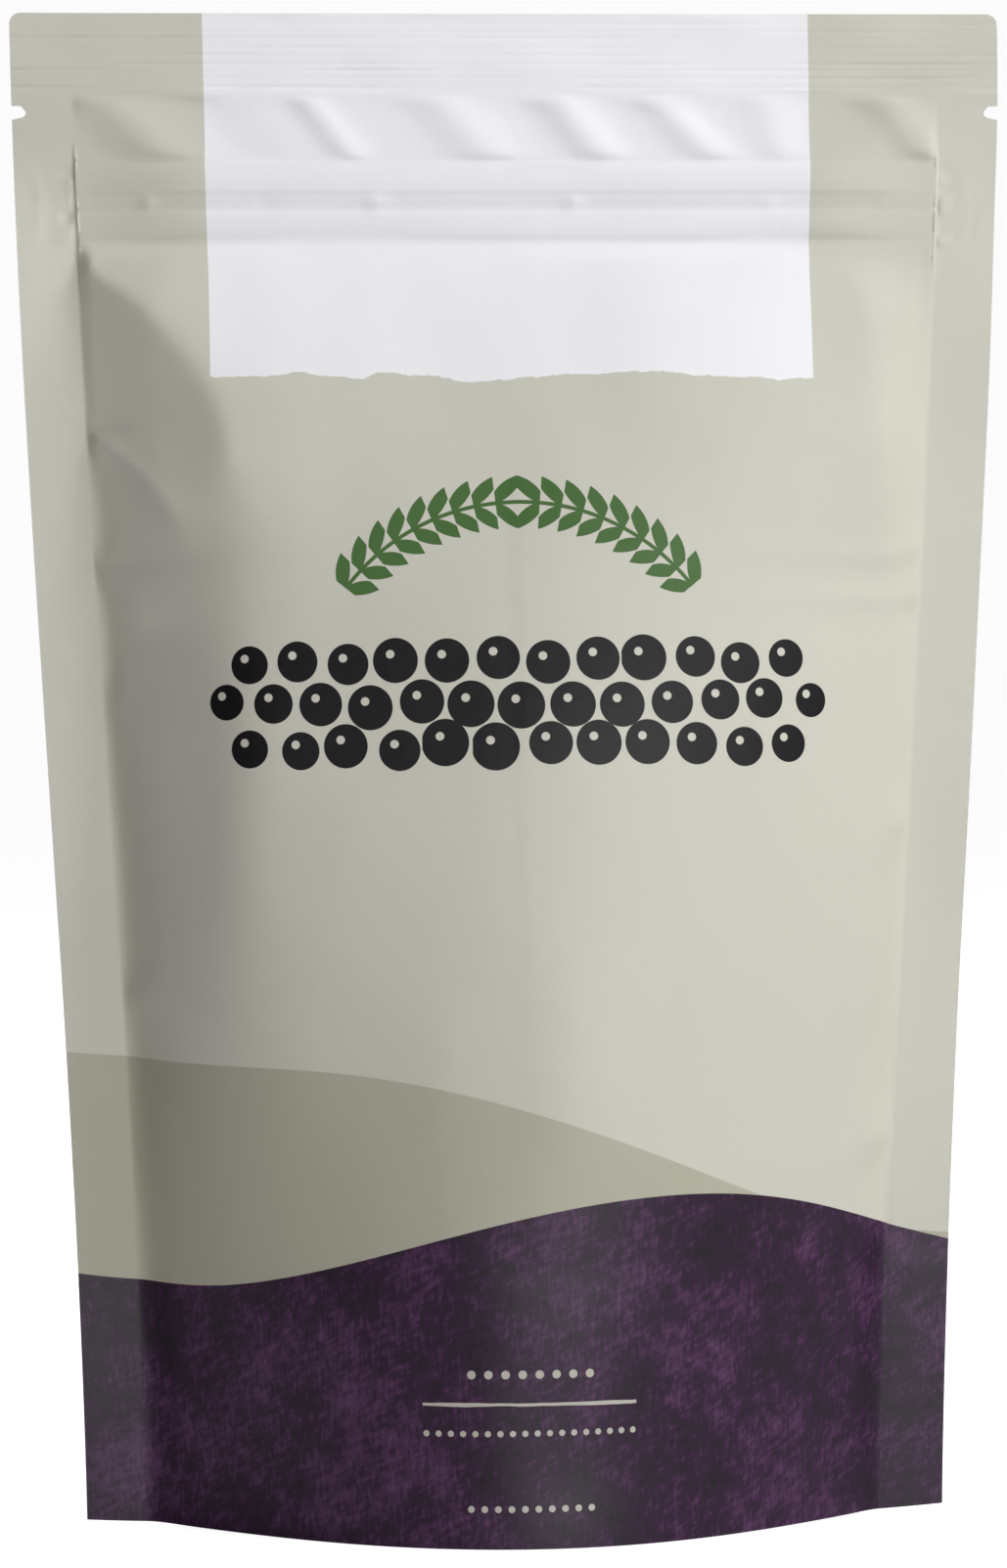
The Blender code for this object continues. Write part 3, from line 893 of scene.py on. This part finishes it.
def leaf_arch(g, u, v):
    """Pairs of leaves along an arch, all pointing to its top."""
    centre, radius = 143.5 * MM, 38.9 * MM
    half_span, leaves = math.radians(52), 9
    step = half_span / leaves
    long, wide, from_stem = 4.3 * MM, 1.25 * MM, 2.3 * MM
    tilt = math.radians(40)
    half_stem = 0.35 * MM
    rise = g.math("SUBTRACT", v, centre)
    side = g.math("ABSOLUTE", u)
    angle = g.math("ARCTAN2", side, rise)
    reach = g.math("SQRT", g.sum(g.times(side, side), g.times(rise, rise)))
    cell = g.math("FRACT", g.math("DIVIDE", angle, step))
    along = g.times(g.math("SUBTRACT", 0.5, cell), step * radius)
    off_stem = g.math("ABSOLUTE", g.math("SUBTRACT", reach, radius))
    out = g.math("SUBTRACT", off_stem, from_stem)
    a = g.sum(g.times(along, math.cos(tilt)), g.times(out, math.sin(tilt)))
    b = g.math("SUBTRACT", g.times(out, math.cos(tilt)), g.times(along, math.sin(tilt)))
    share = g.math("DIVIDE", a, long)
    width = g.times(g.math("SUBTRACT", 1.0, g.times(share, share)), wide)
    leaf = g.less(g.math("ABSOLUTE", b), width)
    stem = g.less(off_stem, half_stem)
    inside = g.less(angle, half_span, blur=0.002)
    return g.times(g.math("MAXIMUM", leaf, stem), inside)


def berry_row(g, u, v, height, shift, end, seed):
    """A row of round berries, a little uneven, smaller towards its ends. Shift and end are in berries."""
    pitch, size = 8.7 * MM, 4.15 * MM
    stray_u, stray_v = 0.9 * MM, 1.3 * MM
    taper_rate = -0.006
    steps = g.math("DIVIDE", g.math("SUBTRACT", u, shift * pitch), pitch)
    cell = g.math("ROUND", steps)
    draws = g.add("ShaderNodeTexWhiteNoise", {"Vector": g.join(cell, seed)}, noise_dimensions="3D")
    jitter_u, jitter_v = g.split(draws.outputs[1])
    shift_u = g.times(g.math("SUBTRACT", jitter_u, 0.5), stray_u)
    shift_v = g.times(g.math("SUBTRACT", jitter_v, 0.5), stray_v)
    du = g.sum(g.times(g.math("SUBTRACT", steps, cell), pitch), shift_u)
    dv = g.sum(g.math("SUBTRACT", v, height), shift_v)
    far = g.math("SQRT", g.sum(g.times(du, du), g.times(dv, dv)))
    place = g.math("ABSOLUTE", g.sum(cell, shift))
    taper = g.math("MULTIPLY_ADD", g.times(place, place), taper_rate, 1.0)
    radius = g.times(g.math("MULTIPLY_ADD", draws.outputs[0], 0.12, 0.90), g.times(taper, size))
    inside = g.less(place, end, blur=0.01)
    eye_u = g.math("ADD", du, 0.9 * MM)
    eye_v = g.math("SUBTRACT", dv, 1.1 * MM)
    eye = g.math("SQRT", g.sum(g.times(eye_u, eye_u), g.times(eye_v, eye_v)))
    shine = g.less(eye, 0.75 * MM)
    berry = g.times(g.less(far, radius), inside)
    return g.times(berry, g.math("SUBTRACT", 1.0, shine))


def berry_band(g, u, v):
    """Three rows of berries, staggered."""
    middle, rise = 147.0 * MM, 7.4 * MM
    rows = [
        berry_row(g, u, v, middle + rise, 0.5, 5.7, 3.0),
        berry_row(g, u, v, middle, 0.0, 6.2, 5.0),
        berry_row(g, u, v, middle - rise, 0.5, 5.7, 8.0),
    ]
    return g.math("MAXIMUM", g.math("MAXIMUM", rows[0], rows[1]), rows[2])


def foot_rule(g, u, v):
    """A thin pale rule, drawn unevenly, with a row of dots above it and two below."""
    rule_height, rule_half = 25.5 * MM, 19.3 * MM
    dot_rows = (  # height, half length and the dots' radius, in millimetres
        (30.5, 13.5, 0.75),
        (20.2, 19.0, 0.55),
        (7.0, 11.0, 0.6),
    )
    film = g.join(u, v)
    aside = g.math("ABSOLUTE", u)
    rough = g.times(g.noise(film, 180.0, detail=1.0), 0.5 * MM)
    thick = g.math("MULTIPLY_ADD", g.noise(film, 90.0, detail=1.0), 0.5 * MM, 0.05 * MM)
    off = g.math("ABSOLUTE", g.math("SUBTRACT", g.sum(v, rough), rule_height))
    total = g.times(g.less(off, thick), g.less(aside, rule_half))
    for height, half, radius in dot_rows:
        pitch = radius * 4.0 * MM
        cell = g.math("SUBTRACT", g.math("FRACT", g.math("DIVIDE", u, pitch)), 0.5)
        du = g.times(cell, pitch)
        dv = g.math("SUBTRACT", v, height * MM)
        far = g.math("SQRT", g.sum(g.times(du, du), g.times(dv, dv)))
        end = round(half * MM / pitch) * pitch
        dots = g.times(g.less(far, radius * MM), g.less(aside, end))
        total = g.math("MAXIMUM", total, dots)
    return total


def finish_group():
    """The fine unevenness of a matt laminate, as a height and a dullness: its grain, its slight orange peel,
    and where it has been rubbed."""
    g, taken, given = new_group(
        "matt film finish",
        {"Film": ("Vector", None)},
        {"Height": "Float", "Dullness": "Float"},
    )
    film = taken.outputs["Film"]
    grain = g.noise(film, 5200.0, detail=2.0)
    peel = g.noise(film, 420.0, detail=2.0, roughness=0.4)
    rubbed = g.noise(film, 46.0, detail=3.0, roughness=0.6)
    g.feed(given.inputs["Height"], g.sum(g.times(grain, 0.010 * MM), g.times(peel, 0.045 * MM)))
    dull = g.sum(g.times(grain, 0.05), g.times(peel, 0.06), g.times(rubbed, 0.10))
    g.feed(given.inputs["Dullness"], dull)
    return g.tree


class FilmMaterial:
    """A film's material: its flat coordinates, the matt finish, and a shader waiting for its colour."""

    MEAN_DULLNESS = 0.105
    GLOSS = 0.36

    def __init__(self, name, groups, roughness, depth=1.0):
        self.material, self.g, self.shader = new_material(name, roughness)
        self.shader.inputs["Specular IOR Level"].default_value = self.GLOSS
        self.film = self.g.add("ShaderNodeUVMap", uv_map="film").outputs[0]
        finish = self.g.add("ShaderNodeGroup", node_tree=groups["finish"])
        self.g.feed(finish.inputs["Film"], self.film)
        bump = {"Strength": depth, "Distance": 1.0, "Height": finish.outputs["Height"]}
        self.g.feed(self.shader.inputs["Normal"], self.g.add("ShaderNodeBump", bump).outputs[0])
        rough = self.g.math("ADD", finish.outputs["Dullness"], roughness - self.MEAN_DULLNESS)
        self.g.feed(self.shader.inputs["Roughness"], rough)

    def ground(self, groups, shift=(0.0, 0.0, 0.0)):
        placed = self.g.add("ShaderNodeVectorMath", {0: self.film, 1: shift}).outputs[0]
        ground = self.g.add("ShaderNodeGroup", node_tree=groups["ground"])
        self.g.feed(ground.inputs["Film"], placed)
        return ground.outputs["Colour"]

    def paint(self, colour):
        self.g.feed(self.shader.inputs["Base Color"], colour)
        return self.material


LABEL_HALF_WIDTH = 54.6 * MM
LABEL_LOW = 202.5 * MM
TEAR = 5.0 * MM  # how far the label's torn lower edge strays


def front_print(groups):
    """The front: the ground, a bare label with a torn lower edge, a leaf arch, a berry band and a rule."""
    made = FilmMaterial("printed front film", groups, 0.46)
    g = made.g
    u, v = g.split(made.film)
    torn = g.times(g.noise(made.film, 95.0, detail=4.0, roughness=0.55), TEAR)
    label = g.times(g.less(g.math("ABSOLUTE", u), LABEL_HALF_WIDTH), g.less(g.sum(torn, LABEL_LOW), v))
    colour = g.colour(label, made.ground(groups), PLAIN_WHITE)
    colour = g.colour(leaf_arch(g, u, v), colour, LEAF_GREEN)
    colour = g.colour(berry_band(g, u, v), colour, BERRY_BLACK)
    return made.paint(g.colour(foot_rule(g, u, v), colour, PALE_INK))


def back_print(groups):
    """The back: the same ground, shifted along, with no motifs."""
    made = FilmMaterial("printed back film", groups, 0.46)
    return made.paint(made.ground(groups, shift=(0.45, 0.0, 0.0)))


def foot_print(groups):
    """The gusset's printed side: the clouded purple of the pouch's foot, all over."""
    made = FilmMaterial("printed gusset film", groups, 0.44)
    return made.paint(made.ground(groups, shift=(0.3, -1.0, 0.0)))


def lining(groups):
    """The films' unprinted side: plain white, barely mottled."""
    made = FilmMaterial("white lining film", groups, 0.38, depth=0.6)
    shade = made.g.ramp(made.g.noise(made.film, 300.0), 0.3, 0.7)
    return made.paint(made.g.colour(shade, (0.80, 0.80, 0.78, 1.0), (0.73, 0.73, 0.71, 1.0)))


def berry_skin():
    """Wrinkled, nearly black skins, with a reddish brown berry here and there."""
    material, g, shader = new_material("dried berry skin", 0.55)
    place = g.add("ShaderNodeTexCoord").outputs["Object"]
    cells = g.add("ShaderNodeTexVoronoi", {"Vector": place, "Scale": 200.0})
    pick = g.split(cells.outputs["Color"])[0]
    wrinkle = g.noise(place, 900.0, detail=3.0, stretch=(1.0, 1.0, 0.4))
    dark = g.colour(wrinkle, (0.012, 0.008, 0.012, 1.0), (0.045, 0.024, 0.035, 1.0))
    colour = g.colour(g.less(0.9, pick, blur=0.02), dark, (0.22, 0.075, 0.03, 1.0))
    g.feed(shader.inputs["Base Color"], colour)
    bump = g.add("ShaderNodeBump", {"Strength": 0.6, "Distance": 0.0006, "Height": wrinkle})
    g.feed(shader.inputs["Normal"], bump.outputs[0])
    return material


def zip_plastic():
    """Milky polyethylene with faint drawing lines along it."""
    material, g, shader = new_material("milky zipper plastic", 0.35)
    shader.inputs["Subsurface Weight"].default_value = 0.15
    shader.inputs["Subsurface Scale"].default_value = 0.001
    place = g.add("ShaderNodeTexCoord").outputs["Object"]
    lines = g.noise(place, 900.0, detail=2.0, stretch=(0.02, 1.0, 1.0))
    milky = g.colour(lines, (0.80, 0.81, 0.82, 1.0), (0.88, 0.88, 0.88, 1.0))
    g.feed(shader.inputs["Base Color"], milky)
    bump = g.add("ShaderNodeBump", {"Strength": 0.3, "Distance": 0.0002, "Height": lines})
    g.feed(shader.inputs["Normal"], bump.outputs[0])
    return material


# ---- The studio ----


LIGHTS = (
    # name, place, side of its square, and power
    ("key", (0.9, -0.4, 1.2), 0.6, 14.9),
    ("front", (0.6, -1.9, 0.2), 0.9, 20.6),
    ("behind", (-1.0, 1.9, 0.9), 1.2, 16.0),
)
LIT_POINT = Vector((0.0, 0.0, 0.14))
FLOOR_REACH = 30.0
FLOOR_GAP = 0.05 * MM
FLOOR_GLOW = 0.93
BACKDROP_GLOW = 0.91
SKY_LIGHT = 0.06
SKY_TINT = (1.0, 0.76, 0.88, 1.0)


def add_light(name, place, side, power):
    """A square lamp turned to the pouch."""
    light = bpy.data.lights.new(name, "AREA")
    light.shape = "RECTANGLE"
    light.size = light.size_y = side
    light.energy = power
    lamp = bpy.data.objects.new(name, light)
    bpy.context.scene.collection.objects.link(lamp)
    lamp.location = place
    direction = LIT_POINT - lamp.location
    lamp.rotation_euler = direction.to_track_quat("-Z", "Y").to_euler()


def add_floor():
    """A pale floor, with a glow that only the camera sees, so that the glow lights nothing."""
    mesh = bpy.data.meshes.new("floor")
    reach = FLOOR_REACH
    corners = [(-reach, -reach, 0.0), (reach, -reach, 0.0), (reach, reach, 0.0), (-reach, reach, 0.0)]
    mesh.from_pydata(corners, [], [(0, 1, 2, 3)])
    material, g, shader = new_material("pale studio floor", 0.8, (0.8, 0.8, 0.8, 1.0))
    shader.inputs["Emission Color"].default_value = (1.0, 1.0, 1.0, 1.0)
    seen = g.add("ShaderNodeLightPath").outputs["Is Camera Ray"]
    g.feed(shader.inputs["Emission Strength"], g.times(seen, FLOOR_GLOW))
    floor = add_object("floor", mesh, [material])
    floor.location.z = -FLOOR_GAP


def add_world():
    """A pale backdrop, and a faint tinted light from all round."""
    world = bpy.data.worlds.new("studio")
    bpy.context.scene.world = world
    world.use_nodes = True
    g = Graph(world.node_tree)
    background = world.node_tree.nodes["Background"]
    seen = g.add("ShaderNodeLightPath").outputs["Is Camera Ray"]
    g.feed(background.inputs["Color"], g.colour(seen, SKY_TINT, (1.0, 1.0, 1.0, 1.0)))
    g.feed(background.inputs["Strength"], g.math("MULTIPLY_ADD", seen, BACKDROP_GLOW, SKY_LIGHT))


def add_camera():
    """A long lens in front of the pouch, a little to its left, turned back to it."""
    camera = bpy.data.cameras.new("camera")
    camera.sensor_fit = "VERTICAL"
    camera.sensor_height = 36.0
    camera.lens = 128.1
    holder = bpy.data.objects.new("camera", camera)
    bpy.context.scene.collection.objects.link(holder)
    holder.location = (-72.7 * MM, -1.0, 150.5 * MM)
    yaw, pitch, roll = math.radians(4.068), math.radians(1.026), math.radians(-0.40)
    forward = Vector((math.sin(yaw) * math.cos(pitch), math.cos(yaw) * math.cos(pitch), -math.sin(pitch)))
    holder.rotation_euler = forward.to_track_quat("-Z", "Y").to_matrix().to_euler()
    holder.rotation_euler.rotate_axis("Z", roll)
    bpy.context.scene.camera = holder


def main():
    groups = {"ground": ground_group(), "finish": finish_group()}
    add_films(groups)
    add_zip_strips()
    add_berries()
    add_floor()
    add_world()
    add_camera()
    for light in LIGHTS:
        add_light(*light)
    bpy.context.scene.view_settings.view_transform = "Standard"


main()
